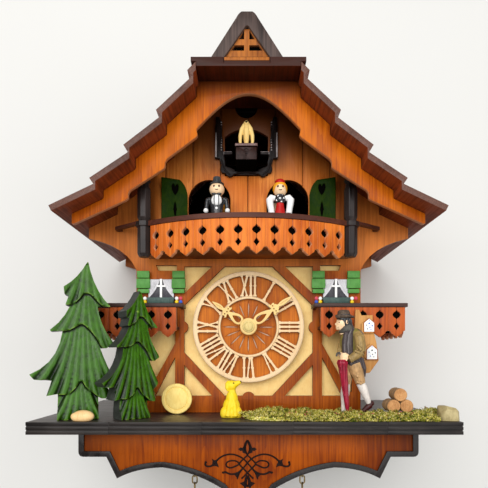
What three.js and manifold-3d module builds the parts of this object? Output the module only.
// Wall-hung chalet cuckoo clock, as an assembly of separate solids.
// Units are millimetres. X is right, Y points into the wall, Z is up.
// The origin lies on the wall face, straight behind the arbor of the dial hands.

import * as THREE from 'three';
import { mergeVertices } from 'three/addons/utils/BufferGeometryUtils.js';
import Module from 'manifold-3d';

const wasm = await Module();
wasm.setup();

// ------------------------------------------------------------------
// Driving dimensions
// ------------------------------------------------------------------

// Clearance that touching pieces keep.
const GAP = 0.3;

// Case
const CASE_DEPTH = 150;
const CASE_HALF = 108.5;
const BACK_THICK = 6;
const SIDE_THICK = 4;
const FACADE_THICK = 5;
const STUCCO_THICK = 4;
const CHEEK_REACH = 45.9;
const CHEEK_SPRING_Z = 55;
const CHEEK_TIP_Z = 85.7;
const GABLE_BOTTOM = 66;
const GABLE_INSET = 12.5;

// Platform and apron
const PLATFORM_TOP = -82.9;
const PLATFORM_THICK = 10.3;
const PLATFORM_REACH = 73;
const PLATFORM_LEFT = -183.4;
const PLATFORM_RIGHT = 176.8;
const APRON_SETBACK = 18;
const APRON_THICK = 6;

// Roof
const ROOF_REACH = 70.5;
const ROOF_THICK = 5;
const ROOF_LAP = 5;
const RIDGE_THICK = 3.7;
const RIDGE_REACH = 4.2;
const RIDGE_CORE_THICK = 4;
const BARGE_SETBACK = 21.9;
const BARGE_THICK = 5.5;

// Ridge tower
const TOWER_X = -1.2;
const TOWER_HALF = 30.5;
const TOWER_HEIGHT = 41.3;
const TOWER_TOP_HALF = 5;
const TOWER_BAND = 9.2;
const TOWER_SETBACK = 5.5;
const TOWER_FRONT_SETBACK = 8.5;
const TOWER_FRONT_THICK = 3;

// Dial
const DIAL_RADIUS = 53.5;
const DIAL_BAND = 4.2;
const NUMERAL_RING_RADIUS = 29.5;
const NUMERAL_RING_BAND = 2.6;
const DIAL_PLATE_RADIUS = 51.4;
const DIAL_PLATE_THICK = 5.1;
const DIAL_RING_THICK = 4;
const BUSH_RADIUS = 4.2;
const HOUR_PIPE_RADIUS = 2.9;
const ARBOR_RADIUS = 1.6;
const HAND_THICK = 2;
const HUB_RADIUS = 8;
const NUT_RADIUS = 5;
const HOUR_HAND_LENGTH = 42;
const MINUTE_HAND_LENGTH = 50.5;
const HOUR_ANGLE = 304.6;
const MINUTE_ANGLE = 55.2;
const NUMERAL_STROKE = 1.7;

// Main balcony
const BALCONY_X = -1;
const BALCONY_HALF = 88;
const BALCONY_RISE = 26;
const BALCONY_REACH = 30;
const BALCONY_FLOOR_Z = 66;
const BALCONY_FLOOR_THICK = 3;
const FENCE_THICK = 4;
const FENCE_BOTTOM = 59.6;
const FENCE_TOP = 90.1;
const FENCE_PLANK = 15.8;
const RAIL_THICK = 4.3;
const RAIL_DEPTH = 8;
const RAIL_OVERHANG = 1;
const RAIL_RING = 1.6;
const RAIL_ARM_REACH = 24;
const RAIL_ARM_THICK = 2.6;
const POST_GAP = 1.2;
const POST_RADIUS = 5.8;
const POST_BOTTOM = 62.6;

// Side balconies
const SIDE_BALCONY_INNER = 60.4;
const SIDE_BALCONY_REACH = 36.3;
const SIDE_BALCONY_FRONT = 22;
const SIDE_BALCONY_DEPTH = 84;
const SIDE_RAIL_Z = 17.2;
const SIDE_RAIL_THICK = 3.6;
const SIDE_RAIL_WIDTH = 7;
const SIDE_RAIL_OVERHANG = 2.3;
const SIDE_STUD = 4;
const SIDE_FENCE_BOTTOM = -10.9;
const SIDE_FENCE_THICK = 3;
const SIDE_PLANK = 15.6;

// Carousel
const CAROUSEL_SETBACK = 16;
const CAROUSEL_RADIUS = 52;
const CAROUSEL_THICK = 4;
const CAROUSEL_Z = 88.3;
const DANCER_ORBIT = 42;
const DANCER_HEIGHT = 47;
const DOOR_CENTRE = 37.8;
const DOOR_HALF = 20.4;
const DOOR_SPRING = 122;
const DOOR_BOTTOM = 86;
const MOTOR_HALF = 14;
const MOTOR_SHAFT_RADIUS = 3;

// Cuckoo
const CUCKOO_X = -2;
const CUCKOO_SILL = 149.2;
const CUCKOO_TRAVEL = 40;
const CUCKOO_OPENING_HALF = 21;
const PERCH_HALF = 10.2;
const PERCH_TOP = 163.7;
const PERCH_REACH = 34;
const CUCKOO_TRAY_THICK = 2.9;
const CUCKOO_FRAME_THICK = 4;

// Movement and hanging parts
const MOVEMENT_THICK = 18;
const MOVEMENT_HALF = 28;
const PENDULUM_PIVOT_Z = -38;
const PENDULUM_LENGTH = 162;
const PENDULUM_SWING = 6;
const PENDULUM_ROD_HALF = 1.5;
const PENDULUM_SLOT_DEPTH = 8;
const SWING_CLEARANCE = 4.7;
const CHAIN_HOLE_RADIUS = 5.5;
const BOB_RADIUS = 20;
const PENDULUM_PIN_RADIUS = 1.3;
const CHAIN_X = 56.5;
const CHAIN_Y = -108;
const CHAIN_PIVOT_Z = -68;
const CHAIN_PIN_RADIUS = 1.2;
const LINK_LENGTH = 10;
const LINK_WIDTH = 6.4;
const LINK_WIRE = 1.5;
const LINK_COUNT = 18;
const CONE_LENGTH = 72;
const CONE_RADIUS = 15;
const EYE_SIDES = 10;
const EYE_WIRE = 1.4;
const EYE_RADIUS = 3.4;
const BATTERY_LENGTH = 50;
const BATTERY_RADIUS = 13.1;
const MODULE_HEIGHT = 34;
const MODULE_HALF = 66;

// Back and rear cover
const COVER_HALF = 62;
const COVER_BOTTOM = -74;
const COVER_TOP = -16;
const COVER_THICK = 2.4;
const COVER_REBATE = 6;
const HANGER_Z = 172;
const HANGER_RADIUS = 5;

// Timber frame and gable wall
const POST_INNER = 62.4;
const POST_OUTER = 71.1;
const SURROUND_TOP = 58.8;
const SURROUND_BOTTOM = -66.6;
const BOSS_RADIUS = 6.4;
const BOSS_REACH = 3.8;
const BAY_TOP = 14;
const PLANK_PITCH = 26.5;
const GROOVE = 1.2;
const EDGE_GROOVE = 1.2;

// Shutters and windows
const SHUTTER_WIDTH = 25;
const SHUTTER_THICK = 2.5;
const SHUTTER_TOP = 142;
const WINDOW_INSET = 24.5;
const WINDOW_HALF = 10.4;
const LEAF_WIDTH = 13;

// Figures and scenery
const TREE_THICK = 16;
const DISC_RADIUS = 14.3;
const LOG_RADIUS = 5.5;
const LOG_LENGTH = 20;
const LOG_X = 133.6;
const PEDDLER_X = 93.5;
const GRASS_HEIGHT = 5.5;

// Levels that the sizes above set
const FACADE_Y = -CASE_DEPTH;
const FACADE_BACK = FACADE_Y + FACADE_THICK;
const STUCCO_Y = FACADE_BACK + GAP;
const STUCCO_BACK = STUCCO_Y + STUCCO_THICK;
const CHEEK_HALF = CASE_HALF + CHEEK_REACH;
const GABLE_HALF = CASE_HALF - GABLE_INSET;
const CASE_BOTTOM = PLATFORM_TOP + GAP;
const PLATFORM_FRONT = FACADE_Y - PLATFORM_REACH;
const PLATFORM_BOTTOM = PLATFORM_TOP - PLATFORM_THICK;
const ROOF_FRONT = FACADE_Y - ROOF_REACH;
const ROOF_BACK = -0.5;

// ------------------------------------------------------------------
// Solids
// ------------------------------------------------------------------

const point = (x, z) => new THREE.Vector2(x, z);
const radians = THREE.MathUtils.degToRad;

/** Closed solid of a geometry, for joins and cuts. */
function solidOf(geometry) {
  const bare = geometry.clone();
  bare.deleteAttribute('normal');
  bare.deleteAttribute('uv');
  const merged = mergeVertices(bare, 1e-4);
  const mesh = new wasm.Mesh({
    numProp: 3,
    vertProperties: new Float32Array(merged.attributes.position.array),
    triVerts: new Uint32Array(merged.index.array),
  });
  return new wasm.Manifold(mesh);
}

/** Geometry of a closed solid. */
function geometryOf(solid) {
  const mesh = solid.getMesh();
  const geometry = new THREE.BufferGeometry();
  geometry.setAttribute('position', new THREE.Float32BufferAttribute(mesh.vertProperties, 3));
  geometry.setIndex([...mesh.triVerts]);
  geometry.computeVertexNormals();
  return geometry;
}

/** One solid joined from overlapping pieces. */
function join(...pieces) {
  return geometryOf(pieces.map(solidOf).reduce((whole, piece) => whole.add(piece)));
}

/** A piece with tools cut out of it. */
function cut(piece, ...tools) {
  return geometryOf(tools.map(solidOf).reduce((whole, tool) => whole.subtract(tool), solidOf(piece)));
}

/** Outline drawn out by a depth, pierced by prisms of the hole outlines. */
function drawn(outline, depth, holes = []) {
  const prism = (points, length) => new THREE.ExtrudeGeometry(
    new THREE.Shape(points),
    { depth: length, bevelEnabled: false },
  );
  const plain = prism(outline, depth);
  if (holes.length === 0) {
    return plain;
  }
  return cut(plain, ...holes.map((hole) => prism(hole, depth + 2).translate(0, 0, -1)));
}

/** Board whose outline lies in the XZ plane, front face at y = front. */
function board(outline, front, thick, holes = []) {
  const geometry = drawn(outline, thick, holes);
  geometry.rotateX(Math.PI / 2);
  geometry.translate(0, front + thick, 0);
  return geometry;
}

/** Slab whose outline lies in plan (X, Y), underside at z = bottom. */
function slab(outline, bottom, thick, holes = []) {
  const geometry = drawn(outline, thick, holes);
  geometry.translate(0, 0, bottom);
  return geometry;
}

/** Box between two corners. */
function block(x0, x1, y0, y1, z0, z1) {
  const geometry = new THREE.BoxGeometry(x1 - x0, y1 - y0, z1 - z0);
  geometry.translate((x0 + x1) / 2, (y0 + y1) / 2, (z0 + z1) / 2);
  return geometry;
}

/** Round rod along Y. */
function rodY(x, z, radius, y0, y1, sides = 20) {
  const geometry = new THREE.CylinderGeometry(radius, radius, y1 - y0, sides);
  geometry.translate(x, (y0 + y1) / 2, z);
  return geometry;
}

/** Round rod along X. */
function rodX(y, z, radius, x0, x1, sides = 20) {
  const geometry = new THREE.CylinderGeometry(radius, radius, x1 - x0, sides);
  geometry.rotateZ(Math.PI / 2);
  geometry.translate((x0 + x1) / 2, y, z);
  return geometry;
}

/** Upright turned piece; profile points are (radius, height) from the bottom up. */
function turned(profile, sides = 12) {
  const geometry = new THREE.LatheGeometry(profile.map(([r, h]) => point(r, h)), sides);
  geometry.rotateX(Math.PI / 2);
  return geometry;
}

/** Ellipsoid of low detail. */
function ellipsoid(x, y, z, rx, ry, rz, across = 8, down = 6) {
  const geometry = new THREE.SphereGeometry(1, across, down);
  geometry.rotateX(Math.PI / 2);
  geometry.scale(rx, ry, rz);
  geometry.translate(x, y, z);
  return geometry;
}

/** Tapered round limb between two points. */
function limb(from, to, radiusFrom, radiusTo, sides = 6) {
  const start = new THREE.Vector3(...from);
  const end = new THREE.Vector3(...to);
  const along = end.clone().sub(start);
  const geometry = new THREE.CylinderGeometry(radiusTo, radiusFrom, along.length(), sides);
  const turn = new THREE.Quaternion().setFromUnitVectors(new THREE.Vector3(0, 1, 0), along.normalize());
  geometry.applyQuaternion(turn);
  const middle = start.add(end).multiplyScalar(0.5);
  geometry.translate(middle.x, middle.y, middle.z);
  return geometry;
}

/** Circle as outline points. */
function circle(x, z, radius, count = 24) {
  const turnOf = (i) => (2 * Math.PI * i) / count;
  return Array.from({ length: count }, (_, i) => point(
    x + radius * Math.cos(turnOf(i)),
    z + radius * Math.sin(turnOf(i)),
  ));
}

/** Upright diamond as outline points. */
function diamond(x, z, width, height) {
  return [
    point(x - width / 2, z),
    point(x, z - height / 2),
    point(x + width / 2, z),
    point(x, z + height / 2),
  ];
}

/** Rectangle as outline points. */
function rectangle(x0, x1, z0, z1) {
  return [point(x0, z0), point(x1, z0), point(x1, z1), point(x0, z1)];
}

/** Outline moved along X. */
const shifted = (outline, dx) => outline.map((p) => point(p.x + dx, p.y));

/** Outline mirrored in the plane x = 0. */
const mirrored = (outline) => outline.map((p) => point(-p.x, p.y));

/** Whole outline of a right half that runs from the bottom middle to the top middle. */
function symmetric(half) {
  const left = mirrored(half).reverse();
  return [...half, ...left].filter((p, i, all) => p.distanceTo(all[(i + 1) % all.length]) > 1e-6);
}

/** Points of a quadratic curve, its start left out. */
function bend(from, control, to, count = 6) {
  return new THREE.QuadraticBezierCurve(from, control, to).getPoints(count).slice(1);
}

const assembly = new THREE.Group();

/** Adds a named piece with its own material. */
function piece(name, geometry, finish) {
  const material = new THREE.MeshStandardMaterial(finish);
  const mesh = new THREE.Mesh(geometry, material);
  mesh.name = name;
  assembly.add(mesh);
  return mesh;
}

const SIDES = [['left', -1], ['right', 1]];

// ------------------------------------------------------------------
// Finishes
// ------------------------------------------------------------------

const wood = (color, roughness = 0.5) => ({ color, roughness, metalness: 0 });
const ORANGE_WOOD = wood(0xb5652b);
const TIMBER = wood(0x9a4a1c);
const DARK_WOOD = wood(0x3c3431);
const ROOF_WOOD = wood(0x6e4434);
const RIDGE_WOOD = wood(0x5f4b46);
const STUCCO = { color: 0xe4cd96, roughness: 0.85, metalness: 0 };
const MAPLE = wood(0xf0dcb4);
const BRASS = { color: 0xc79a3e, roughness: 0.3, metalness: 1 };
const LEAF_GREEN = wood(0x286e14);
const SHUTTER_GREEN = wood(0x1d4a12);
const WINDOW_GREEN = wood(0x5aaa5a);
const BLACK_PLASTIC = { color: 0x202022, roughness: 0.45, metalness: 0 };
const PAINT = (color) => ({ color, roughness: 0.4, metalness: 0 });
const CONE_BROWN = { color: 0x4a2d1c, roughness: 0.6, metalness: 0 };

// ------------------------------------------------------------------
// Roof
// ------------------------------------------------------------------

// Five lapped boards on each side: lower outer corner and slope of each.
const COURSES = [
  { x: CASE_HALF + 57.1, z: 96.3, slope: radians(25.6) },
  { x: CASE_HALF + 23.3, z: 119, slope: radians(33.7) },
  { x: CASE_HALF - 4.9, z: 146.4, slope: radians(37.5) },
  { x: CASE_HALF - 31.9, z: 175.3, slope: radians(43) },
  { x: CASE_HALF - 57.8, z: 208.2, slope: radians(45) },
];
const RIDGE_HALF = CASE_HALF - 64.8;

/** Height of a course's upper face at x. */
const courseTop = (course, x) => course.z + (course.x - x) * Math.tan(course.slope);

/** Height of a course's underside at x. */
const courseUnder = (course, x) => courseTop(course, x) - ROOF_THICK / Math.cos(course.slope);

/** Where a course's lower end meets the upper face of the course below. */
function lapFoot(course, below) {
  const sine = Math.sin(course.slope);
  const cosine = Math.cos(course.slope);
  const rise = course.z - below.z - (below.x - course.x) * Math.tan(below.slope);
  const down = rise / (cosine + sine * Math.tan(below.slope));
  return point(course.x - down * sine, course.z - down * cosine);
}

const RIDGE_SEAT = courseTop(COURSES[4], RIDGE_HALF);
const RIDGE_CORE_BOTTOM = RIDGE_SEAT + GAP - RIDGE_CORE_THICK;
const RIDGE_TOP = RIDGE_SEAT + GAP + RIDGE_THICK;

/** Section of one roof side, stepped above and below. */
function roofSection() {
  const last = COURSES[COURSES.length - 1];
  const first = COURSES[0];
  const upper = [point(first.x, first.z)];
  COURSES.slice(1).forEach((course, i) => {
    upper.push(lapFoot(course, COURSES[i]), point(course.x, course.z));
  });
  upper.push(point(RIDGE_HALF, courseTop(last, RIDGE_HALF)));
  const under = [point(
    first.x - ROOF_THICK * Math.sin(first.slope),
    first.z - ROOF_THICK * Math.cos(first.slope),
  )];
  COURSES.slice(1).forEach((course, i) => {
    const step = course.x - ROOF_LAP;
    under.push(point(step, courseUnder(COURSES[i], step)), point(step, courseUnder(course, step)));
  });
  under.push(point(RIDGE_HALF, courseUnder(last, RIDGE_HALF)));
  return [...upper, ...under.reverse()];
}

/** Line that boards under the roof follow, from x = outer in to x = inner. */
function underRoof(outer, inner = 0) {
  const drop = (course, x) => point(x, courseUnder(course, x) - GAP * 1.4);
  const steps = COURSES.slice(1).map((course) => course.x - ROOF_LAP - GAP);
  let lowest = steps.findIndex((x) => x < outer);
  lowest = lowest < 0 ? COURSES.length - 1 : lowest;
  const line = [drop(COURSES[lowest], outer)];
  steps.slice(lowest).filter((x) => x > inner).forEach((x) => {
    line.push(drop(COURSES[lowest], x), drop(COURSES[lowest + 1], x));
    lowest += 1;
  });
  if (inner > 0) {
    return [...line, drop(COURSES[lowest], inner)];
  }
  const ridgeInside = RIDGE_HALF - GAP;
  const under = RIDGE_CORE_BOTTOM - GAP;
  return [...line, drop(COURSES[4], ridgeInside), point(ridgeInside, under), point(0, under)];
}

for (const [side, sign] of SIDES) {
  const section = sign > 0 ? roofSection() : mirrored(roofSection());
  piece(`roof_${side}`, board(section, ROOF_FRONT, ROOF_BACK - ROOF_FRONT), ROOF_WOOD);
}

const ridgeOverhang = RIDGE_HALF + RIDGE_REACH;
const ridgeCore = RIDGE_HALF - GAP;
const ridgeHalf = [
  point(ridgeCore, RIDGE_CORE_BOTTOM),
  point(ridgeCore, RIDGE_SEAT + GAP),
  point(ridgeOverhang, RIDGE_SEAT + GAP),
  point(ridgeOverhang, RIDGE_TOP),
];
piece('ridge_board', board(symmetric(ridgeHalf), ROOF_FRONT, ROOF_BACK - ROOF_FRONT), RIDGE_WOOD);

// Ridge tower: a steep roof with a lattice in its front.
const towerBase = RIDGE_TOP + GAP;
const towerSlope = Math.atan2(TOWER_HEIGHT, TOWER_HALF - TOWER_TOP_HALF / 2);
const towerBandWide = TOWER_BAND / Math.sin(towerSlope);
const towerInnerHalf = TOWER_HALF - towerBandWide;
const towerInnerApex = towerBase + towerInnerHalf * Math.tan(towerSlope);

/** Section of the tower roof, a band bent over the ridge. */
function towerSection() {
  const apex = towerBase + TOWER_HEIGHT;
  const shoulder = TOWER_TOP_HALF + 2;
  const shoulderZ = towerBase + (TOWER_HALF - shoulder) * Math.tan(towerSlope);
  const half = [
    point(towerInnerHalf, towerBase),
    point(TOWER_HALF, towerBase),
    point(shoulder, shoulderZ),
    point(TOWER_TOP_HALF, apex - 0.8),
    point(TOWER_TOP_HALF - 2, apex),
  ];
  const inner = [point(0, towerInnerApex), point(-towerInnerHalf, towerBase)];
  return shifted([...half, ...mirrored(half.slice(1)).reverse(), ...inner.reverse()], TOWER_X);
}

/** Lattice board that fills the tower's front. */
function towerLattice() {
  const slope = Math.tan(towerSlope);
  const half = towerInnerHalf - GAP / Math.sin(towerSlope);
  const apex = towerBase + half * slope;
  const frame = 0.9;
  const bar = 2.5;
  const sillTop = towerBase + 7.4;
  const crossBottom = towerBase + 12.9;
  const crossTop = crossBottom + 4.3;
  const headBottom = towerBase + 21.5;
  const edge = (z) => (apex - z) / slope - frame;
  const opening = (z0, z1) => {
    const right = [point(bar, z0), point(edge(z0), z0), point(edge(z1), z1), point(bar, z1)];
    return [shifted(right, TOWER_X), shifted(mirrored(right), TOWER_X)];
  };
  const outline = [point(-half, towerBase), point(half, towerBase), point(0, apex)];
  const holes = [...opening(sillTop, crossBottom), ...opening(crossTop, headBottom)];
  return board(shifted(outline, TOWER_X), ROOF_FRONT + TOWER_FRONT_SETBACK, TOWER_FRONT_THICK, holes);
}

const towerFront = ROOF_FRONT + TOWER_SETBACK;
piece('tower_roof', board(towerSection(), towerFront, ROOF_BACK - 12 - towerFront), RIDGE_WOOD);
piece('tower_front', towerLattice(), ORANGE_WOOD);

// ------------------------------------------------------------------
// Case
// ------------------------------------------------------------------

/** Right edge of the case outline, from its foot to the tip of the cheek. */
function cheekEdge() {
  const spring = point(CASE_HALF, CHEEK_SPRING_Z);
  const control = point(CASE_HALF + 9, CHEEK_TIP_Z - 7.7);
  return [spring, ...bend(spring, control, point(CHEEK_HALF, CHEEK_TIP_Z))];
}

const caseHalf = [point(CASE_HALF, CASE_BOTTOM), ...cheekEdge(), ...underRoof(CHEEK_HALF)];

// Back board, with a rebated opening for the rear cover and a hanging hole.
const backFront = -BACK_THICK;
const coverOpening = block(
  -COVER_HALF + COVER_REBATE, COVER_HALF - COVER_REBATE,
  backFront - 1, 1,
  COVER_BOTTOM + COVER_REBATE, COVER_TOP - COVER_REBATE,
);
const coverRebate = block(
  -COVER_HALF - GAP, COVER_HALF + GAP,
  -COVER_THICK - 2 * GAP, 1,
  COVER_BOTTOM - GAP, COVER_TOP + GAP,
);
const hangerHole = circle(0, HANGER_Z, HANGER_RADIUS, 16);
const backPanel = board(symmetric(caseHalf), backFront, BACK_THICK, [hangerHole]);
piece('back_board', cut(backPanel, coverOpening, coverRebate), ORANGE_WOOD);
const cover = block(-COVER_HALF, COVER_HALF, -COVER_THICK - GAP, -GAP, COVER_BOTTOM, COVER_TOP);
piece('rear_cover', cover, BLACK_PLASTIC);

for (const [side, sign] of SIDES) {
  const outer = sign * CASE_HALF;
  const inner = sign * (CASE_HALF - SIDE_THICK);
  const top = Math.min(...underRoof(CASE_HALF, CASE_HALF - SIDE_THICK).map((p) => p.y));
  const x0 = Math.min(outer, inner);
  const x1 = Math.max(outer, inner);
  const panel = block(x0, x1, FACADE_BACK + GAP, backFront - GAP, CASE_BOTTOM, top);
  piece(`case_side_${side}`, panel, ORANGE_WOOD);
}

// Stucco board behind the timber frame.
const stuccoHalf = CASE_HALF - SIDE_THICK - GAP;
const shaftClear = BUSH_RADIUS + GAP;
const stuccoHole = circle(0, 0, shaftClear, 20);
const stuccoOutline = rectangle(-stuccoHalf, stuccoHalf, CASE_BOTTOM, GABLE_BOTTOM - 2);
piece('stucco_front', board(stuccoOutline, STUCCO_Y, STUCCO_THICK, [stuccoHole]), STUCCO);

// Timber frame: one fretted board with the cheeks, window bays and dial surround.

/** Octagonal opening round the dial, with half-round bosses on its straight sides. */
function surroundOpening() {
  const topHalf = 23.2;
  const upper = 21.1;
  const lower = -24.6;
  const half = POST_INNER;
  const boss = (x, z, from, to) => new THREE.Path()
    .absarc(x, z, BOSS_RADIUS, radians(from), radians(to), true)
    .getPoints(5);
  const sink = BOSS_RADIUS - BOSS_REACH;
  return [
    ...boss(0, SURROUND_BOTTOM - sink, 156, 24),
    point(topHalf, SURROUND_BOTTOM),
    point(half, lower),
    ...boss(half + sink, 0, 246, 114),
    point(half, upper),
    point(topHalf, SURROUND_TOP),
    point(-topHalf, SURROUND_TOP),
    point(-half, upper),
    ...boss(-half - sink, 0, 66, -66),
    point(-half, lower),
    point(-topHalf, SURROUND_BOTTOM),
  ];
}

/** Openings of the frame's right half, bar the octagon. */
function frameOpenings() {
  const brace = 12;
  const corner = point(POST_INNER - 0.1, SURROUND_TOP);
  const bayOuter = CASE_HALF - 8.5;
  const braceTop = -16;
  const braceFoot = bayOuter - 3;
  const braceWide = 6.5;
  return [
    [corner, point(35.2, SURROUND_TOP), point(POST_INNER - 0.1, SURROUND_TOP - 26.3)],
    [
      point(POST_INNER - 0.1, SURROUND_BOTTOM),
      point(35.2, SURROUND_BOTTOM),
      point(POST_INNER - 0.1, SURROUND_BOTTOM + brace * 2.5),
    ],
    [
      point(POST_OUTER - 1.7, 54.6),
      point(CASE_HALF - 21, 54.6),
      point(CASE_HALF - 19, 60),
      point(POST_OUTER - 1.7, 60),
    ],
    [
      point(POST_OUTER, BAY_TOP),
      point(POST_OUTER, braceTop),
      point(braceFoot, SURROUND_BOTTOM + 4),
      point(bayOuter, SURROUND_BOTTOM + 4),
      point(bayOuter, BAY_TOP),
    ],
    [
      point(POST_OUTER, braceTop - 13),
      point(POST_OUTER, SURROUND_BOTTOM),
      point(braceFoot - braceWide, SURROUND_BOTTOM),
    ],
  ];
}

const gableSeat = GABLE_HALF + GAP;
const frameHalf = [
  point(CASE_HALF, CASE_BOTTOM),
  ...cheekEdge(),
  ...underRoof(CHEEK_HALF, gableSeat),
  point(gableSeat, GABLE_BOTTOM),
];
const frameOpen = frameOpenings();
const timberBoard = board(
  symmetric(frameHalf),
  FACADE_Y,
  FACADE_THICK,
  [surroundOpening(), ...frameOpen, ...frameOpen.map(mirrored)],
);
piece('timber_frame', timberBoard, TIMBER);

// Gable wall: planks with two doorways, a slot for the carousel and the cuckoo opening.
const doorTop = (x) => new THREE.Path()
  .absarc(x, DOOR_SPRING, DOOR_HALF, 0, Math.PI, false)
  .getPoints(12);
const doorInner = DOOR_CENTRE - DOOR_HALF;
const doorOuter = DOOR_CENTRE + DOOR_HALF;
const slotTop = CAROUSEL_Z + CAROUSEL_THICK + 1.3;
const doorways = [
  point(-doorOuter, DOOR_BOTTOM),
  point(doorOuter, DOOR_BOTTOM),
  ...doorTop(DOOR_CENTRE),
  point(doorInner, slotTop),
  point(-doorInner, slotTop),
  ...doorTop(-DOOR_CENTRE),
];
const trayBottom = CUCKOO_SILL - CUCKOO_TRAY_THICK;
const cuckooSpring = CUCKOO_SILL + 34.9;
const cuckooCrown = CUCKOO_SILL + 51;
const cuckooOpening = shifted([
  point(-CUCKOO_OPENING_HALF, trayBottom - GAP),
  point(CUCKOO_OPENING_HALF, trayBottom - GAP),
  point(CUCKOO_OPENING_HALF, cuckooSpring),
  ...bend(
    point(CUCKOO_OPENING_HALF, cuckooSpring),
    point(0, cuckooCrown),
    point(-CUCKOO_OPENING_HALF, cuckooSpring),
    8,
  ),
], CUCKOO_X);
const gableHalf = [point(GABLE_HALF, GABLE_BOTTOM + GAP), ...underRoof(GABLE_HALF)];
const gablePanel = board(symmetric(gableHalf), FACADE_Y, FACADE_THICK, [doorways, cuckooOpening]);
const grooves = [-3, -2, -1, 0, 1, 2, 3].map((i) => block(
  i * PLANK_PITCH - GROOVE / 2, i * PLANK_PITCH + GROOVE / 2,
  FACADE_Y - 1, FACADE_Y + GROOVE,
  GABLE_BOTTOM - 1, RIDGE_TOP,
));
piece('gable_wall', cut(gablePanel, ...grooves), ORANGE_WOOD);

// Bargeboard under the front of the roof.
const bargeEnd = CHEEK_HALF - 0.1;
const bargeLower = [
  point(bargeEnd, 86.9),
  point(bargeEnd - 2.1, 86.9),
  point(CASE_HALF - 1.5, 107.6),
  point(CASE_HALF - 3.5, 109.2),
  point(CASE_HALF - 3.5, 113.5),
  point(CASE_HALF - 5.5, 116.4),
  point(CASE_HALF - 34.3, 134.8),
  point(CASE_HALF - 35.8, 136.6),
  point(CASE_HALF - 35.8, 140.8),
  point(CASE_HALF - 37.8, 143.9),
  point(CASE_HALF - 62.8, 162.4),
  point(CASE_HALF - 64.1, 164.4),
  point(CASE_HALF - 63, 169.5),
];
const archCurve = new THREE.CubicBezierCurve(
  bargeLower[bargeLower.length - 1],
  point(30, 186),
  point(16, 200.6),
  point(0, 200.6),
);
const bargeHalf = [
  ...archCurve.getPoints(10).reverse(),
  ...bargeLower.slice(0, -1).reverse(),
  ...underRoof(bargeEnd),
];
const bargeY = ROOF_FRONT + BARGE_SETBACK;
piece('bargeboard', board(symmetric(bargeHalf), bargeY, BARGE_THICK), ORANGE_WOOD);

// ------------------------------------------------------------------
// Platform and apron
// ------------------------------------------------------------------

const apronY = PLATFORM_FRONT + APRON_SETBACK;
const pendulumY = STUCCO_BACK + GAP + MOVEMENT_THICK + 4;
const swingReach = (PENDULUM_PIVOT_Z - PLATFORM_BOTTOM) * Math.tan(radians(PENDULUM_SWING));
const slotHalf = swingReach + PENDULUM_ROD_HALF + SWING_CLEARANCE;
const slotFront = pendulumY - PENDULUM_SLOT_DEPTH / 2;
const pendulumSlot = rectangle(-slotHalf, slotHalf, slotFront, slotFront + PENDULUM_SLOT_DEPTH);
const platformOutline = rectangle(PLATFORM_LEFT, PLATFORM_RIGHT, PLATFORM_FRONT, 0);
const platformHoles = [
  pendulumSlot,
  circle(-CHAIN_X, CHAIN_Y, CHAIN_HOLE_RADIUS, 16),
  circle(CHAIN_X, CHAIN_Y, CHAIN_HOLE_RADIUS, 16),
];
const platformSlab = slab(platformOutline, PLATFORM_BOTTOM, PLATFORM_THICK, platformHoles);
const edgeGrooves = [3.4, 6.9].map((down) => block(
  PLATFORM_LEFT - 1, PLATFORM_RIGHT + 1,
  PLATFORM_FRONT - 1, PLATFORM_FRONT + EDGE_GROOVE,
  PLATFORM_TOP - down - EDGE_GROOVE / 2, PLATFORM_TOP - down + EDGE_GROOVE / 2,
));
piece('platform', cut(platformSlab, ...edgeGrooves), DARK_WOOD);

const apronTop = PLATFORM_BOTTOM - GAP;
const apronHalf = [
  point(145.4, apronTop),
  point(145.4, -110),
  ...bend(point(145.4, -110), point(145.4, -114.5), point(141, -114.5), 3),
  point(121.5, -114.5),
  point(112.4, -133),
  ...bend(point(112.4, -133), point(96, -124), point(73.4, -123.6), 5),
  ...bend(point(73.4, -123.6), point(46, -127), point(22.7, -141.6), 6),
  ...bend(point(22.7, -141.6), point(15, -153), point(0, -163), 4),
];
piece('apron', board(symmetric([...apronHalf].reverse()), apronY, APRON_THICK), ORANGE_WOOD);

// ------------------------------------------------------------------
// Main balcony
// ------------------------------------------------------------------

const balconyEndY = FACADE_Y - BALCONY_REACH;
const fenceRadius = (BALCONY_HALF ** 2 + BALCONY_RISE ** 2) / (2 * BALCONY_RISE);
const fenceCentreY = balconyEndY - BALCONY_RISE + fenceRadius;
const fenceHalfAngle = Math.asin(BALCONY_HALF / fenceRadius);
const fenceStep = FENCE_PLANK / fenceRadius;
const fenceCount = 2 * Math.ceil(fenceHalfAngle / fenceStep);

/** Points of an arc about the fence's centre, from left to right. */
function fenceArc(radius, half, count = 16) {
  const limit = Math.asin(half / radius);
  return Array.from({ length: count + 1 }, (_, i) => {
    const angle = -limit + (2 * limit * i) / count;
    return point(BALCONY_X + radius * Math.sin(angle), fenceCentreY - radius * Math.cos(angle));
  });
}

/** Prisms that pierce a plank's middle with two diamonds, outer face at y = 0. */
function fretHoles(bottom) {
  return [diamond(0, bottom + 10.3, 4.6, 7), diamond(0, bottom + 21, 7, 8.4)]
    .map((outline) => board(outline, -2, FENCE_THICK + 4));
}

/** Prism that scoops the foot between two neighbouring planks. */
function scoop(width, bottom) {
  const half = width / 2;
  const outline = [
    point(-half, bottom),
    point(-half, bottom - 1),
    point(half, bottom - 1),
    point(half, bottom),
    point(half * 0.45, bottom + 3.6),
    point(0, bottom + 5.5),
    point(-half * 0.45, bottom + 3.6),
  ];
  return board(outline, -2, FENCE_THICK + 4);
}

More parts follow.
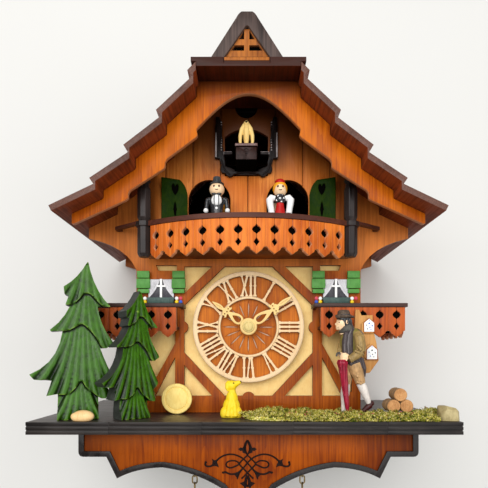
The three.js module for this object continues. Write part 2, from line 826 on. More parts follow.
/** Fence of planks set side by side round the balcony's front. */
function curvedFence() {
  const width = 2 * fenceRadius * Math.tan(fenceStep / 2);
  const plan = [
    ...fenceArc(fenceRadius, BALCONY_HALF, fenceCount),
    ...fenceArc(fenceRadius - FENCE_THICK, BALCONY_HALF - 2, fenceCount).reverse(),
  ];
  const round = (tool, angle) => {
    tool.translate(0, -fenceRadius, 0);
    tool.rotateZ(angle);
    tool.translate(BALCONY_X, fenceCentreY, 0);
    return tool;
  };
  const tools = [];
  for (let i = -fenceCount / 2; i <= fenceCount / 2; i += 1) {
    tools.push(round(scoop(width, FENCE_BOTTOM), fenceStep * i));
    if (i < fenceCount / 2) {
      const middle = fenceStep * (i + 0.5);
      tools.push(...fretHoles(FENCE_BOTTOM).map((tool) => round(tool, middle)));
    }
  }
  return cut(slab(plan, FENCE_BOTTOM, FENCE_TOP - FENCE_BOTTOM), ...tools);
}

piece('balcony_fence', curvedFence(), ORANGE_WOOD);

const floorRadius = fenceRadius - FENCE_THICK - 2 * GAP;
const floorHalf = BALCONY_HALF - 3;
const postHalf = BALCONY_HALF + POST_GAP + POST_RADIUS;
const floorSide = postHalf - POST_RADIUS - GAP;
const floorOutline = [
  ...fenceArc(floorRadius, floorHalf),
  point(BALCONY_X + floorSide, balconyEndY + FENCE_THICK),
  point(BALCONY_X + floorSide, FACADE_Y - GAP),
  point(BALCONY_X - floorSide, FACADE_Y - GAP),
  point(BALCONY_X - floorSide, balconyEndY + FENCE_THICK),
];
piece('balcony_floor', slab(floorOutline, BALCONY_FLOOR_Z, BALCONY_FLOOR_THICK), DARK_WOOD);

// The hand rail lies on the fence, rings both posts and turns back to the cheeks.
const railBottom = FENCE_TOP + GAP;
const railTop = railBottom + RAIL_THICK;
const postY = balconyEndY + 6;

/** Octagonal prism with flats facing front and side. */
function octagon(x, y, radius, bottom, top) {
  const corner = radius / Math.cos(Math.PI / 8);
  const outline = Array.from({ length: 8 }, (_, i) => point(
    x + corner * Math.cos((i + 0.5) * Math.PI / 4),
    y + corner * Math.sin((i + 0.5) * Math.PI / 4),
  ));
  return slab(outline, bottom, top - bottom);
}

/** Hand rail as one board bent round the balcony. */
function handRail() {
  const outerRadius = fenceRadius + RAIL_OVERHANG;
  const end = BALCONY_HALF + POST_GAP + 1;
  const front = fenceArc(outerRadius, end);
  const back = fenceArc(outerRadius - RAIL_DEPTH, end - 1).reverse();
  let rail = slab([...front, ...back], railBottom, RAIL_THICK);
  for (const [, sign] of SIDES) {
    const x = BALCONY_X + sign * postHalf;
    const ring = octagon(x, postY, POST_RADIUS + RAIL_RING, railBottom, railTop);
    const hole = octagon(x, postY, POST_RADIUS + GAP, railBottom - 1, railTop + 1);
    const reach = sign * (POST_RADIUS + 1);
    const inner = x + reach;
    const outer = x + reach + sign * RAIL_ARM_REACH;
    const arm = slab([
      point(inner, postY - 4),
      point(outer, FACADE_Y - 9),
      point(outer, FACADE_Y - GAP),
      point(outer - sign * 5, FACADE_Y - GAP),
      point(outer - sign * 5, FACADE_Y - 7),
      point(inner, postY + 3),
    ], railTop - RAIL_ARM_THICK, RAIL_ARM_THICK);
    rail = cut(join(rail, ring, arm), hole);
  }
  return rail;
}

piece('balcony_rail', handRail(), DARK_WOOD);

// Octagonal posts with tapered feet, from the balcony's underside to the roof.
for (const [side, sign] of SIDES) {
  const x = BALCONY_X + sign * postHalf;
  const outerCorner = Math.abs(x) + POST_RADIUS;
  const top = underRoof(outerCorner, outerCorner - 1)[0].y;
  const corner = POST_RADIUS / Math.cos(Math.PI / 8);
  const post = turned([
    [0, POST_BOTTOM],
    [corner - 2.4, POST_BOTTOM],
    [corner, POST_BOTTOM + 3.5],
    [corner, top],
    [0, top],
  ], 8);
  post.rotateZ(Math.PI / 8);
  post.translate(x, postY, 0);
  piece(`post_${side}`, post, DARK_WOOD);
}

// ------------------------------------------------------------------
// Side balconies
// ------------------------------------------------------------------

const sideFront = FACADE_Y - SIDE_BALCONY_FRONT;
const sideOuter = CASE_HALF + SIDE_BALCONY_REACH;
const sideBack = FACADE_Y + SIDE_BALCONY_DEPTH - SIDE_BALCONY_FRONT;
const sideFloorZ = SIDE_FENCE_BOTTOM + 8;
const sideFenceTop = SIDE_RAIL_Z - GAP;
const cornerX = sideOuter - SIDE_FENCE_THICK - GAP;
const cornerY = sideFront + SIDE_FENCE_THICK + GAP;
const sideFrontCount = Math.floor((sideOuter - SIDE_BALCONY_INNER) / SIDE_PLANK);
const sideReturnCount = Math.floor((sideBack - sideFront) / SIDE_PLANK);
const sideFrontEnd = sideOuter - sideFrontCount * SIDE_PLANK;

/** Right-hand dark frame: floor, corner posts and hand rail in one piece. */
function sideBalconyFrame() {
  const wall = CASE_HALF + GAP;
  const face = FACADE_Y - GAP;
  const floor = slab([
    point(sideFrontEnd, cornerY),
    point(cornerX, cornerY),
    point(cornerX, sideBack),
    point(wall, sideBack),
    point(wall, face),
    point(sideFrontEnd, face),
  ], sideFloorZ, 3);
  const railFront = sideFront - 1;
  const railOuter = sideOuter + SIDE_RAIL_OVERHANG;
  const railInY = railFront + SIDE_RAIL_WIDTH;
  const railInX = railOuter - SIDE_RAIL_WIDTH;
  const rail = slab([
    point(SIDE_BALCONY_INNER, railFront),
    point(railOuter, railFront),
    point(railOuter, sideBack),
    point(wall, sideBack),
    point(wall, sideBack - 5),
    point(railInX, sideBack - 5),
    point(railInX, railInY),
    point(SIDE_BALCONY_INNER + 5, railInY),
    point(SIDE_BALCONY_INNER + 5, face),
    point(SIDE_BALCONY_INNER, face),
  ], SIDE_RAIL_Z, SIDE_RAIL_THICK);
  const studs = [
    [sideFrontEnd, cornerY],
    [cornerX - SIDE_STUD, cornerY],
    [cornerX - SIDE_STUD, sideBack - SIDE_STUD],
    [wall, sideBack - SIDE_STUD],
  ].map(([x, y]) => block(x, x + SIDE_STUD, y, y + SIDE_STUD, sideFloorZ + 1, SIDE_RAIL_Z + 1));
  return join(floor, rail, ...studs);
}

/** Right-hand fretwork fence, its front and its side return in one piece. */
function sideFence() {
  const sideEnd = sideFront + sideReturnCount * SIDE_PLANK;
  const plan = [
    point(sideFrontEnd, sideFront),
    point(sideOuter, sideFront),
    point(sideOuter, sideEnd),
    point(sideOuter - SIDE_FENCE_THICK, sideEnd),
    point(sideOuter - SIDE_FENCE_THICK, sideFront + SIDE_FENCE_THICK),
    point(sideFrontEnd, sideFront + SIDE_FENCE_THICK),
  ];
  const toFront = (tool, i) => tool.translate(sideOuter - SIDE_PLANK * i, sideFront, 0);
  const toSide = (tool, i) => tool.rotateZ(Math.PI / 2)
    .translate(sideOuter, sideFront + SIDE_PLANK * i, 0);
  const tools = [];
  for (const [count, move] of [[sideFrontCount, toFront], [sideReturnCount, toSide]]) {
    for (let i = 0; i <= count; i += 1) {
      tools.push(move(scoop(SIDE_PLANK, SIDE_FENCE_BOTTOM), i));
      if (i < count) {
        tools.push(...fretHoles(SIDE_FENCE_BOTTOM).map((tool) => move(tool, i + 0.5)));
      }
    }
  }
  return cut(slab(plan, SIDE_FENCE_BOTTOM, sideFenceTop - SIDE_FENCE_BOTTOM), ...tools);
}

/** Copy of a right-hand geometry mirrored to the left. */
function toLeft(geometry) {
  const flip = new THREE.Matrix4().makeScale(-1, 1, 1);
  const copy = solidOf(geometry).transform(flip.elements);
  return geometryOf(copy);
}

const place = (geometry, sign) => (sign > 0 ? geometry : toLeft(geometry));

for (const [side, sign] of SIDES) {
  piece(`side_balcony_${side}`, place(sideBalconyFrame(), sign), DARK_WOOD);
  piece(`side_fence_${side}`, place(sideFence(), sign), ORANGE_WOOD);
}

// ------------------------------------------------------------------
// Shutters and windows
// ------------------------------------------------------------------

const SHUTTER_OPEN = radians(14);
const shutterBottom = BALCONY_FLOOR_Z + BALCONY_FLOOR_THICK + GAP;

/** Right-hand gable shutter, hung beside its doorway and standing a little open. */
function gableShutter() {
  const spring = SHUTTER_TOP - SHUTTER_WIDTH + 3;
  const curve = bend(
    point(0, spring),
    point(4, SHUTTER_TOP - 4),
    point(SHUTTER_WIDTH, SHUTTER_TOP),
    6,
  );
  const outline = [
    point(0, shutterBottom),
    point(SHUTTER_WIDTH, shutterBottom),
    ...curve.reverse(),
    point(0, spring),
  ];
  const holes = [diamond(12, 131, 8, 9), diamond(12, 112.4, 4, 14.5)];
  const leaf = board(outline, -SHUTTER_THICK, SHUTTER_THICK, holes);
  leaf.rotateZ(-SHUTTER_OPEN);
  leaf.translate(doorOuter + 0.8, FACADE_Y - 1, 0);
  return leaf;
}

/** Right-hand window: pane board, two shutters and a flower box glued together. */
function windowUnit() {
  const centre = CASE_HALF - WINDOW_INSET;
  const back = FACADE_Y - GAP;
  const pane = block(centre - WINDOW_HALF - 2, centre + WINDOW_HALF + 2, back - 3, back, 27, 46);
  const leaves = [-1, 1].map((side) => {
    const inner = centre + side * WINDOW_HALF;
    const outer = inner + side * LEAF_WIDTH;
    return block(Math.min(inner, outer), Math.max(inner, outer), back - 5.5, back - 2.5, 32.2, 53.6);
  });
  const flowerBox = block(centre - WINDOW_HALF - 9.5, centre + WINDOW_HALF + 5, back - 8, back, 21.8, 27.8);
  return join(pane, ...leaves, flowerBox);
}

for (const [side, sign] of SIDES) {
  piece(`gable_shutter_${side}`, place(gableShutter(), sign), SHUTTER_GREEN);
  piece(`window_${side}`, place(windowUnit(), sign), WINDOW_GREEN);
}

// ------------------------------------------------------------------
// Cuckoo
// ------------------------------------------------------------------

const cuckooFrameY = FACADE_Y - GAP - CUCKOO_FRAME_THICK;
const perchBottom = CUCKOO_SILL + GAP;
const perchFront = FACADE_Y - PERCH_REACH;

/** U-shaped frame with shelf ends, and the tray that the perch slides on. */
function cuckooFrame() {
  const half = [
    point(0, CUCKOO_SILL - 1),
    point(17, CUCKOO_SILL - 6.4),
    point(26, CUCKOO_SILL + 1),
    point(26, CUCKOO_SILL + 12.5),
    point(30.2, CUCKOO_SILL + 12.5),
    point(29, CUCKOO_SILL + 52.5),
    point(24.5, CUCKOO_SILL + 52.5),
    point(CUCKOO_OPENING_HALF, CUCKOO_SILL + 34),
    point(CUCKOO_OPENING_HALF, CUCKOO_SILL + 17.8),
    point(14, CUCKOO_SILL + 17.8),
    point(14, CUCKOO_SILL + 15.2),
    point(CUCKOO_OPENING_HALF - 5, CUCKOO_SILL + 13),
    point(CUCKOO_OPENING_HALF - 5, CUCKOO_SILL),
  ];
  const face = board(shifted(symmetric(half), CUCKOO_X), cuckooFrameY, CUCKOO_FRAME_THICK);
  const tray = block(
    CUCKOO_X - PERCH_HALF, CUCKOO_X + PERCH_HALF,
    cuckooFrameY + 1, perchFront + CUCKOO_TRAVEL + 68,
    trayBottom, CUCKOO_SILL,
  );
  return join(face, tray);
}

/** Box that carries the bird and slides in the frame, with a lip on its front edge. */
function perch() {
  const left = CUCKOO_X - PERCH_HALF;
  const right = CUCKOO_X + PERCH_HALF;
  const body = block(left + 0.6, right - 0.6, perchFront + 1, perchFront + 66, perchBottom, PERCH_TOP);
  const lip = block(left, right, perchFront, perchFront + 24, PERCH_TOP - 3.2, PERCH_TOP);
  return join(body, lip);
}

/** Small bird with drooping wings. */
function bird() {
  const foot = PERCH_TOP + GAP;
  const y = FACADE_Y - 24;
  const body = ellipsoid(CUCKOO_X, y, foot + 11, 4, 6, 10);
  const head = ellipsoid(CUCKOO_X, y - 2, foot + 20, 3.8, 4.4, 4.4);
  const wings = [-1, 1].map((sign) => limb(
    [CUCKOO_X + sign * 5.2, y + 1, foot + 3],
    [CUCKOO_X + sign * 2.6, y, foot + 20],
    1.5, 2.4,
  ));
  const stand = block(CUCKOO_X - 1.5, CUCKOO_X + 1.5, y - 2, y + 2, foot, foot + 4);
  return join(body, head, ...wings, stand);
}

piece('cuckoo_frame', cuckooFrame(), DARK_WOOD);
piece('cuckoo_perch', perch(), DARK_WOOD);
piece('cuckoo_bird', bird(), MAPLE);

// ------------------------------------------------------------------
// Carousel
// ------------------------------------------------------------------

const carouselY = FACADE_Y + CAROUSEL_SETBACK;
const disc = new THREE.CylinderGeometry(CAROUSEL_RADIUS, CAROUSEL_RADIUS, CAROUSEL_THICK, 40);
disc.rotateX(Math.PI / 2);
disc.translate(0, carouselY, CAROUSEL_Z + CAROUSEL_THICK / 2);
piece('carousel', disc, DARK_WOOD);

/** Dancing figure, turned with arms to its sides. */
function dancer(woman) {
  const height = DANCER_HEIGHT;
  const hip = woman ? 8.2 : 5.6;
  const waist = woman ? 4.4 : 5.2;
  const cap = [[5.8, height - 4.4], [3.2, height - 1.2]];
  const topHat = [[6.2, height - 6.6], [4, height - 6.2], [3.8, height]];
  const body = turned([
    [0, 0],
    [hip, 0],
    [hip - 0.4, 6],
    [waist, 17],
    [6, 24],
    [3.2, 28],
    [6.6, 32],
    [6.9, 35.4],
    [5.8, height - 7.4],
    ...(woman ? cap : topHat),
    [0, height],
  ], 10);
  const arms = [-1, 1].map((sign) => limb([sign * 7, -2, 15], [sign * 5.4, 0, 25], 1.8, 2.2, 5));
  return join(body, ...arms);
}

// The couples stand on the disc, the front pair facing out of the doorways.
const STAND_ANGLE = radians(45);
const couples = [
  ['dancer_man_front', false, -STAND_ANGLE],
  ['dancer_woman_front', true, STAND_ANGLE],
  ['dancer_man_rear', false, Math.PI - STAND_ANGLE],
  ['dancer_woman_rear', true, Math.PI + STAND_ANGLE],
];
for (const [name, woman, angle] of couples) {
  const figure = dancer(woman);
  figure.rotateZ(Math.abs(angle) > Math.PI / 2 ? Math.PI : 0);
  figure.translate(
    DANCER_ORBIT * Math.sin(angle),
    carouselY - DANCER_ORBIT * Math.cos(angle),
    CAROUSEL_Z + CAROUSEL_THICK + GAP,
  );
  piece(name, figure, PAINT(woman ? 0xb01c22 : 0x1c1c20));
}

const motorTop = GABLE_BOTTOM - 2;
const motorBody = block(
  -MOTOR_HALF, MOTOR_HALF,
  STUCCO_BACK + GAP, carouselY + MOTOR_HALF,
  motorTop - 20, motorTop,
);
const motorShaft = limb(
  [0, carouselY, motorTop - 2],
  [0, carouselY, CAROUSEL_Z - GAP],
  MOTOR_SHAFT_RADIUS, MOTOR_SHAFT_RADIUS, 16,
);
piece('carousel_motor', join(motorBody, motorShaft), BLACK_PLASTIC);

// ------------------------------------------------------------------
// Dial, hands and movement
// ------------------------------------------------------------------

const plateY = FACADE_BACK - DIAL_PLATE_THICK;
const ringY = plateY - GAP - DIAL_RING_THICK;
const hourY = ringY - 3.5;
const minuteY = hourY - HAND_THICK - 0.4;
const hourBore = HOUR_PIPE_RADIUS + GAP;
const arborBore = ARBOR_RADIUS + GAP;

const plateOutline = circle(0, 0, DIAL_PLATE_RADIUS, 48);
piece('dial_plate', board(plateOutline, plateY, DIAL_PLATE_THICK, [circle(0, 0, shaftClear)]), ORANGE_WOOD);

const NUMERALS = ['XII', 'I', 'II', 'III', 'IIII', 'V', 'VI', 'VII', 'VIII', 'IX', 'X', 'XI'];
const GLYPH_WIDTH = { I: 3.3, V: 7.4, X: 7.4 };

/** Bar of a numeral from the inner ring (u0) to the outer ring (u1). */
function stroke(u0, u1, angle) {
  const inner = NUMERAL_RING_RADIUS - 0.8;
  const outer = DIAL_RADIUS - DIAL_BAND + 0.8;
  const bar = board([
    point(u0 - NUMERAL_STROKE / 2, inner),
    point(u0 + NUMERAL_STROKE / 2, inner),
    point(u1 + NUMERAL_STROKE / 2, outer),
    point(u1 - NUMERAL_STROKE / 2, outer),
  ], ringY, DIAL_RING_THICK);
  bar.rotateY(angle);
  return bar;
}

/** Bars of one numeral, its foot towards the centre of the dial. */
function numeral(text, angle) {
  const total = [...text].reduce((sum, letter) => sum + GLYPH_WIDTH[letter], 0);
  const bars = [];
  let from = -total / 2;
  for (const letter of text) {
    const middle = from + GLYPH_WIDTH[letter] / 2;
    const spread = GLYPH_WIDTH[letter] / 2 - 1;
    if (letter === 'I') {
      bars.push(stroke(middle, middle, angle));
    } else {
      const foot = letter === 'V' ? 0.5 : spread * 0.8;
      bars.push(stroke(middle - foot, middle + spread * (letter === 'V' ? -1 : 1), angle));
      bars.push(stroke(middle + foot, middle + spread * (letter === 'V' ? 1 : -1), angle));
    }
    from += GLYPH_WIDTH[letter];
  }
  return bars;
}

/** Flat ring about the dial's centre. */
function flatRing(radius, band, count = 48) {
  return board(circle(0, 0, radius, count), ringY, DIAL_RING_THICK, [circle(0, 0, radius - band, count)]);
}

const bars = NUMERALS.flatMap((text, i) => numeral(text, (i * Math.PI) / 6));
piece(
  'dial_ring',
  join(flatRing(DIAL_RADIUS, DIAL_BAND), flatRing(NUMERAL_RING_RADIUS, NUMERAL_RING_BAND, 36), ...bars),
  MAPLE,
);

/** Right half of a pierced hand: a drop near the hub, a cross and a spear. */
function handOutline(length) {
  const reach = length - HUB_RADIUS;
  const at = (share) => HUB_RADIUS + reach * share;
  return [
    point(2.2, HUB_RADIUS - 1),
    point(4.6, at(0.22)),
    point(1.6, at(0.46)),
    point(4.6, at(0.56)),
    point(4.2, at(0.64)),
    point(1.5, at(0.62)),
    point(2.6, at(0.74)),
    point(0.4, length),
  ];
}

/** Hand pointing straight up, front face at y = front. */
function hand(length, front, bore) {
  const reach = length - HUB_RADIUS;
  const eyeZ = HUB_RADIUS + reach * 0.2;
  const eye = diamond(0, eyeZ, 4.4, reach * 0.26);
  const blade = board(symmetric(handOutline(length)), front, HAND_THICK, [eye]);
  const hub = rodY(0, 0, HUB_RADIUS, front, front + HAND_THICK, 24);
  return cut(join(blade, hub), rodY(0, 0, bore, front - 1, front + HAND_THICK + 1, 16));
}

/** Hour hand on its pipe. */
function hourHand() {
  const pipe = rodY(0, 0, HOUR_PIPE_RADIUS, hourY + 0.5, STUCCO_Y, 20);
  const plain = join(hand(HOUR_HAND_LENGTH, hourY, arborBore), pipe);
  return cut(plain, rodY(0, 0, arborBore, hourY - 1, STUCCO_Y + 1, 16));
}

const hourMesh = hourHand();
hourMesh.rotateY(radians(HOUR_ANGLE));
piece('hour_hand', hourMesh, MAPLE);
const minuteMesh = hand(MINUTE_HAND_LENGTH, minuteY, arborBore);
minuteMesh.rotateY(radians(MINUTE_ANGLE));
piece('minute_hand', minuteMesh, MAPLE);

// Minute arbor with the nut that holds the hands.
const nutY = minuteY - GAP;
const movementFront = STUCCO_BACK + GAP;
const arborBack = movementFront + 10;
const nut = rodY(0, 0, NUT_RADIUS, nutY - 2, nutY, 20);
const nutDome = rodY(0, 0, NUT_RADIUS * 0.6, nutY - 3.4, nutY - 1, 16);
const arbor = rodY(0, 0, ARBOR_RADIUS, nutY - 1, arborBack, 16);
piece('minute_arbor', join(nut, nutDome, arbor), BRASS);

// Quartz movement with its threaded bush and the pin that carries the pendulum.
const movementBack = movementFront + MOVEMENT_THICK;
const movementFoot = PENDULUM_PIVOT_Z - 6;
const movementBody = block(
  -MOVEMENT_HALF, MOVEMENT_HALF,
  movementFront, movementBack,
  movementFoot, MOVEMENT_HALF,
);
const bush = rodY(0, 0, BUSH_RADIUS, ringY + 0.6, movementFront + 1, 20);
const pin = rodY(0, PENDULUM_PIVOT_Z, PENDULUM_PIN_RADIUS, movementBack - 1, pendulumY + 3, 12);
const pinHead = rodY(0, PENDULUM_PIVOT_Z, PENDULUM_PIN_RADIUS + 1.4, pendulumY + 2, pendulumY + 3.4, 12);
const bushBore = rodY(0, 0, hourBore, ringY - 2, STUCCO_Y + GAP, 20);
const arborHole = rodY(0, 0, arborBore, ringY - 2, arborBack + GAP, 16);
piece('quartz_movement', cut(join(movementBody, bush, pin, pinHead), bushBore, arborHole), BLACK_PLASTIC);

/** Pendulum: an eye on the pin, a flat rod and a carved bob. */
function pendulum() {
  const top = PENDULUM_PIVOT_Z;
  const eye = rodY(0, top, PENDULUM_PIN_RADIUS + 2.4, pendulumY - 1, pendulumY + 1, 16);
  const bobZ = top - PENDULUM_LENGTH;
  const rod = block(
    -PENDULUM_ROD_HALF, PENDULUM_ROD_HALF,
    pendulumY - 0.8, pendulumY + 0.8,
    bobZ + BOB_RADIUS - 4, top - 2.6,
  );
  const bob = rodY(0, bobZ, BOB_RADIUS, pendulumY - 3, pendulumY + 3, 32);
  const bore = rodY(0, top, PENDULUM_PIN_RADIUS + GAP, pendulumY - 2, pendulumY + 2, 12);
  return cut(join(eye, rod, bob), bore);
}

piece('pendulum', pendulum(), CONE_BROWN);

// Sound module on the platform, with a battery bay open to the rear and two chain pins.
const moduleFront = CHAIN_Y + 8;
const moduleBack = backFront - 24;
const moduleTop = CASE_BOTTOM + MODULE_HEIGHT;
const bayHalf = BATTERY_LENGTH / 2 + GAP + 0.7;
const bayBottom = CASE_BOTTOM + 3;
const batteryZ = bayBottom + GAP + BATTERY_RADIUS;
const bayDepth = 2 * BATTERY_RADIUS + 1.4;
const moduleBody = block(-MODULE_HALF, MODULE_HALF, moduleFront, moduleBack, CASE_BOTTOM, moduleTop);
const batteryBay = block(
  -bayHalf, bayHalf,
  moduleBack - bayDepth, moduleBack + 1,
  bayBottom, batteryZ + BATTERY_RADIUS + 0.7,
);
const chainPins = SIDES.flatMap(([, sign]) => [
  rodY(sign * CHAIN_X, CHAIN_PIVOT_Z, CHAIN_PIN_RADIUS, CHAIN_Y - 3.2, moduleFront + 1, 12),
  rodY(sign * CHAIN_X, CHAIN_PIVOT_Z, 2, CHAIN_Y - 4.2, CHAIN_Y - 3, 12),
]);
piece('sound_module', cut(join(moduleBody, ...chainPins), batteryBay), BLACK_PLASTIC);
const batteryY = moduleBack - bayDepth + GAP + BATTERY_RADIUS;
const batteryHalf = BATTERY_LENGTH / 2;
const cell = rodX(batteryY, batteryZ, BATTERY_RADIUS, -batteryHalf, batteryHalf, 24);
piece('battery', cell, PAINT(0x8c8f94));

// ------------------------------------------------------------------
// Chains and weights
// ------------------------------------------------------------------

const linkPitch = LINK_LENGTH - 2 * LINK_WIRE + 0.3;
const linkTop = CHAIN_PIVOT_Z + CHAIN_PIN_RADIUS + GAP - (LINK_LENGTH / 2 - LINK_WIRE);

/** One flat link, its hole along Y. */
function link() {
  const half = LINK_LENGTH / 2;
  const wide = LINK_WIDTH / 2;
  const hole = rectangle(-wide + LINK_WIRE, wide - LINK_WIRE, -half + LINK_WIRE, half - LINK_WIRE);
  return board(rectangle(-wide, wide, -half, half), -LINK_WIRE / 2, LINK_WIRE, [hole]);
}

const chainBottom = linkTop - (LINK_COUNT - 1) * linkPitch - LINK_LENGTH / 2;

/** Dummy chain, one link through the next, hanging from its pin. */
function chain(x) {
  const links = Array.from({ length: LINK_COUNT }, (_, i) => {
    const one = link();
    one.rotateZ(i % 2 ? Math.PI / 2 : 0);
    one.translate(x, CHAIN_Y, linkTop - i * linkPitch);
    return one;
  });
  return join(...links);
}

const eyeInner = (EYE_RADIUS - EYE_WIRE) * Math.sin((2 * Math.PI) / 5);
const eyeZ = chainBottom + LINK_WIRE + GAP - eyeInner;

/** Pine cone weight whose eye hangs in the last link. */
function cone(x) {
  const top = eyeZ - EYE_RADIUS + 0.3;
  const body = turned([
    [0, top - CONE_LENGTH],
    [5, top - CONE_LENGTH + 1.5],
    [CONE_RADIUS * 0.72, top - CONE_LENGTH + 12],
    [CONE_RADIUS, top - CONE_LENGTH * 0.55],
    [CONE_RADIUS * 0.9, top - CONE_LENGTH * 0.25],
    [CONE_RADIUS * 0.5, top - 5],
    [2.6, top],
    [0, top],
  ], 14);
  body.translate(x, CHAIN_Y, 0);
  const eye = board(
    circle(0, 0, EYE_RADIUS, EYE_SIDES),
    -EYE_WIRE / 2,
    EYE_WIRE,
    [circle(0, 0, EYE_RADIUS - EYE_WIRE, EYE_SIDES)],
  );
  eye.rotateZ(LINK_COUNT % 2 ? Math.PI / 2 : 0);
  eye.translate(x, CHAIN_Y, eyeZ);
  return join(body, eye);
}

for (const [side, sign] of SIDES) {
  piece(`chain_${side}`, chain(sign * CHAIN_X), BRASS);
  piece(`cone_${side}`, cone(sign * CHAIN_X), CONE_BROWN);
}

// ------------------------------------------------------------------
// Scenery on the platform
// ------------------------------------------------------------------

const ground = PLATFORM_TOP + GAP;

/** Silhouette of a fir of four swept tiers, scaled about its foot. */
function firOutline(scale) {
  const at = (x, height) => point(x * scale, ground + height * scale);
  return [
    at(16.9, 0),
    at(16.4, 19),
    ...bend(at(16.4, 19), at(20, 17), at(22.7, 17.8), 2),
    at(25.7, 23.6),
    at(22.5, 30),
    at(27.5, 38),
    ...bend(at(27.5, 38), at(22, 50), at(18, 61), 3),
    at(23.7, 61.2),
    at(29.1, 65.6),
    ...bend(at(29.1, 65.6), at(17, 82), at(16, 97), 4),
    at(26.6, 96.8),
    ...bend(at(26.6, 96.8), at(12, 112), at(8.1, 136.4), 5),
    ...bend(at(8.1, 136.4), at(0, 120), at(-11.4, 112.9), 4),
    at(-10.9, 107),
    at(-7.5, 105.6),
    at(-10, 97.8),
    at(-6.5, 96.8),
    ...bend(at(-6.5, 96.8), at(-12, 84), at(-22.2, 76.3), 3),
    at(-21.7, 74.9),
    at(-12.4, 75.8),
    ...bend(at(-12.4, 75.8), at(-16, 48), at(-38.3, 38.8), 5),
    at(-34.8, 34.4),
    at(-21.2, 33.4),
    at(-25.1, 20.7),
    at(-16.3, 22.2),
    at(-16.8, 0),
  ];
}

/** Carved fir board turned towards the middle of the platform. */
function fir(x, y, turn, scale) {
  const tree = board(firOutline(scale), -TREE_THICK / 2, TREE_THICK);
  tree.rotateZ(turn);
  tree.translate(x, y, 0);
  return tree;
}

const leftTreeX = PLATFORM_LEFT + 36.5;
const rightTreeX = PLATFORM_LEFT + 81.7;
piece('tree_left', fir(leftTreeX, PLATFORM_FRONT + 20.6, radians(17), 1), LEAF_GREEN);
piece('tree_right', fir(rightTreeX, PLATFORM_FRONT + 24.1, radians(43), 0.82), LEAF_GREEN);

// Straw disc, standing upright.
const discY = PLATFORM_FRONT + 58;
piece('straw_disc', rodY(-67.5, ground + DISC_RADIUS, DISC_RADIUS, discY, discY + 4, 28), PAINT(0xf0d68a));

/** Stone with a flat foot. */
function stone(x, y, rx, ry, rz) {
  const lump = ellipsoid(x, y, ground + rz * 0.7, rx, ry, rz, 12, 8);
  return cut(lump, block(x - 40, x + 40, y - 40, y + 40, ground - 40, ground));
}

const stoneRightX = PLATFORM_RIGHT - 8.3;
const stoneRightY = PLATFORM_FRONT + 9;
piece('stone_left', stone(PLATFORM_LEFT + 44.4, PLATFORM_FRONT + 6.4, 10.5, 5, 5.9), PAINT(0xe8bf8c));
piece('stone_right', stone(stoneRightX, stoneRightY, 8.3, 6.5, 6.4), PAINT(0xd8c4a0));

/** Sitting dog, looking to the left. */
function dog(x, y) {
  const rump = ellipsoid(x + 3, y, ground + 7, 7, 6, 7);
  const chest = ellipsoid(x - 0.5, y, ground + 14.5, 4.6, 4.8, 10);
  const head = ellipsoid(x - 1.5, y, ground + 27, 4.6, 4.2, 5.2);
  const snout = limb([x - 8, y, ground + 25.2], [x - 2, y, ground + 26.4], 1.7, 2.8, 7);
  const legs = block(x - 5, x - 0.5, y - 3.6, y + 3.6, ground, ground + 12);
  const ears = [-1, 1].map((sign) => limb(
    [x, y + sign * 3, ground + 28],
    [x + 1, y + sign * 3.4, ground + 33],
    1.6, 0.7,
  ));
  const foot = block(x - 8, x + 9, y - 4.4, y + 4.4, ground, ground + 2.2);
  return join(rump, chest, head, snout, legs, foot, ...ears);
}

const dogY = PLATFORM_FRONT + 32;
piece('dog', dog(-14.4, dogY), PAINT(0xf2c82e));

// Logs stacked in a small pile.
const logY = PLATFORM_FRONT + 28;

/** Three logs, two below and one above. */
function logPile() {
  const spread = LOG_RADIUS - 0.1;
  const centres = [[-spread, LOG_RADIUS], [spread, LOG_RADIUS], [0, LOG_RADIUS + spread * Math.sqrt(3)]];
  const logs = centres.map(([x, z]) => rodY(
    LOG_X + x,
    ground + z,
    LOG_RADIUS,
    logY,
    logY + LOG_LENGTH,
    12,
  ));
  return join(...logs);
}

piece('log_pile', logPile(), PAINT(0x9a6b45));

// Peddler: a walking figure that faces left, leaning on a furled umbrella.
const peddlerY = PLATFORM_FRONT + 38;

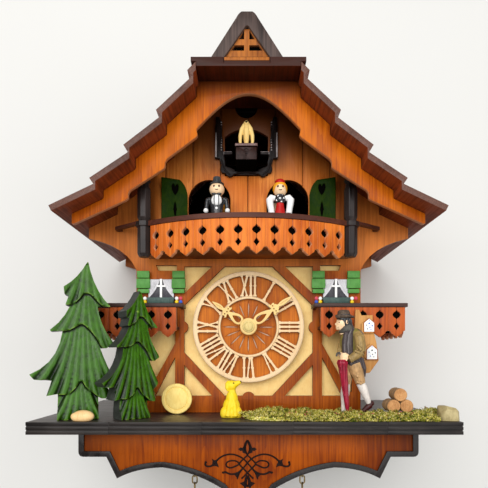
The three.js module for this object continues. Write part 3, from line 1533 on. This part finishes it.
/** Figure made of tapered limbs; heights are above the platform. */
function peddler() {
  const at = (x, z, y = 0) => [PEDDLER_X + x, peddlerY + y, ground + z];
  const body = ellipsoid(PEDDLER_X - 0.5, peddlerY, ground + 65, 10.6, 8, 18.5, 8, 6);
  const skirt = limb(at(4.5, 41), at(1, 58), 7.9, 7.9, 8);
  const head = ellipsoid(PEDDLER_X - 6.4, peddlerY, ground + 84, 6, 5.4, 7.4, 8, 6);
  const neck = limb(at(-4, 72), at(-6, 82), 4.4, 3.6);
  const brim = ellipsoid(PEDDLER_X - 4.8, peddlerY, ground + 90, 8.4, 7, 1.6, 8, 4);
  const crown = limb(at(-4.8, 90), at(-4.4, 95.4), 5.6, 4, 8);
  const upperArm = limb(at(3.4, 74, -6), at(9, 58, -8), 4.4, 4);
  const foreArm = limb(at(9, 58, -8), at(-7, 53.6, -8), 3.8, 3);
  const farArm = limb(at(-6, 70, 3), at(-11.5, 56, -4), 3.8, 3);
  const hands = ellipsoid(PEDDLER_X - 9.4, peddlerY - 6.5, ground + 54, 4.6, 3.6, 3.6);
  const frontLeg = limb(at(-3.4, 28), at(-0.6, 48), 4.4, 6);
  const frontShin = limb(at(-4.4, 2), at(-3.4, 29), 3, 4.2);
  const backThigh = limb(at(6.5, 28), at(3.6, 46), 4.4, 6);
  const backShin = limb(at(15.4, 3), at(6.5, 29), 3, 4.2);
  const umbrella = limb(at(-4.8, 2, -8), at(-10.4, 53, -7), 1, 4.2);
  const shoes = [-8.5, 12].map((x) => block(
    PEDDLER_X + x, PEDDLER_X + x + 8.6,
    peddlerY - 3.4, peddlerY + 3.4,
    ground, ground + 4.4,
  ));
  return join(
    body, skirt, head, neck, brim, crown, upperArm, foreArm, farArm, hands,
    frontLeg, frontShin, backThigh, backShin, umbrella, ...shoes,
  );
}

piece('peddler', peddler(), PAINT(0x4a4436));

/** Pack frame on the peddler's back, with two small house clocks on it. */
function peddlerPack() {
  const at = (x, height) => point(PEDDLER_X + x, ground + height);
  const packY = peddlerY + 8 + GAP;
  const outline = [
    at(1.5, 44), at(7.2, 36), at(14.1, 38.7), at(17.5, 39.1), at(25.7, 50.4),
    at(23.7, 66.2), at(20.9, 77.2), at(20.2, 92), at(9.9, 91.6), at(7.9, 96.8), at(4.4, 97.1),
  ];
  const house = (x, base) => board([
    at(x, base), at(x + 11, base), at(x + 11, base + 8.6), at(x + 5.5, base + 13.5), at(x, base + 8.6),
  ], packY - 2, 2.5);
  return join(board(outline, packY, 2.5), house(9.3, 75), house(12, 52.4));
}

piece('peddler_pack', peddlerPack(), PAINT(0xc98f52));

/** Grass mat with clear pockets round what stands in it. */
function grassMat() {
  const left = -5;
  const right = PLATFORM_RIGHT - 0.8;
  const front = PLATFORM_FRONT + 1;
  const back = FACADE_Y - 24;
  const outline = [
    point(left, front + 22),
    point(left + 5, front + 9),
    point(left + 24, front + 3),
    point(left + 70, front),
    point(right - 20, front),
    point(right, front + 4),
    point(right, back - 8),
    point(right - 12, back),
    point(left + 80, back),
    point(left + 36, back - 4),
    point(left + 12, back - 12),
  ];
  const pocket = (x0, x1, y0, y1) => rectangle(x0 - GAP, x1 + GAP, y0 - GAP, y1 + GAP);
  const holes = [
    pocket(PEDDLER_X - 9.2, PEDDLER_X + 21, peddlerY - 10, peddlerY + 4.8),
    pocket(LOG_X - 2 * LOG_RADIUS, LOG_X + 2 * LOG_RADIUS, logY, logY + LOG_LENGTH),
    pocket(stoneRightX - 8.3, stoneRightX + 8.3, stoneRightY - 6.5, stoneRightY + 6.5),
  ];
  return slab(outline, ground, GRASS_HEIGHT, holes);
}

piece('grass', grassMat(), PAINT(0x7f8f2a));

export default assembly;
